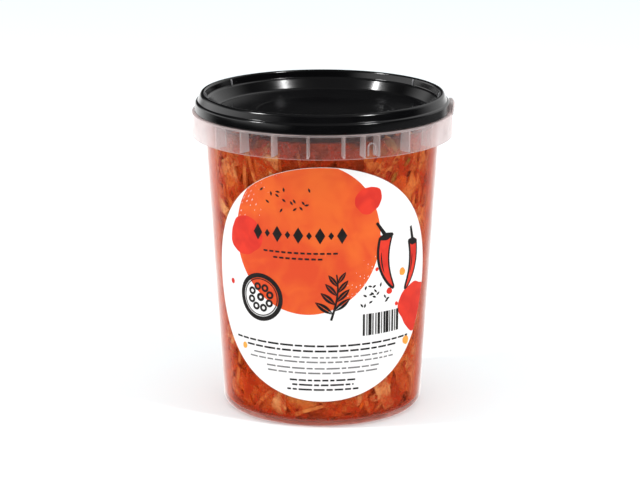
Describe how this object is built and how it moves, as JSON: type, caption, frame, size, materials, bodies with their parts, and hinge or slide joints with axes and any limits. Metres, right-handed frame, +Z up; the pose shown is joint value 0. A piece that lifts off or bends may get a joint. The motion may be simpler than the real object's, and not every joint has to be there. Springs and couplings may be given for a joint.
{
  "type": "bucket of kimchi",
  "caption": "Tapered round tub of clear plastic filled with kimchi, with a collar under its rim, a tear tab, a black snap lid with a sunken panel and a round printed label.",
  "frame": {"origin": "centre of the tub's base, on the surface that it stands on", "axes": "+Z up along the tub's axis, -Y out of the middle of the label, +X towards the tear tab"},
  "size_m": [0.1233, 0.1222, 0.15],
  "materials": {
    "tub": "clear moulded plastic",
    "collar": "clear, slightly milky moulded plastic",
    "lid": "glossy black moulded plastic",
    "label": "satin white film with orange, red and black print",
    "kimchi": "wet shredded cabbage, radish and carrot in red sauce"
  },
  "bodies": {
    "root": {"tub": "tub", "collar": "collar", "lid": "lid", "label": "label", "kimchi": "kimchi"}
  },
  "joints": []
}
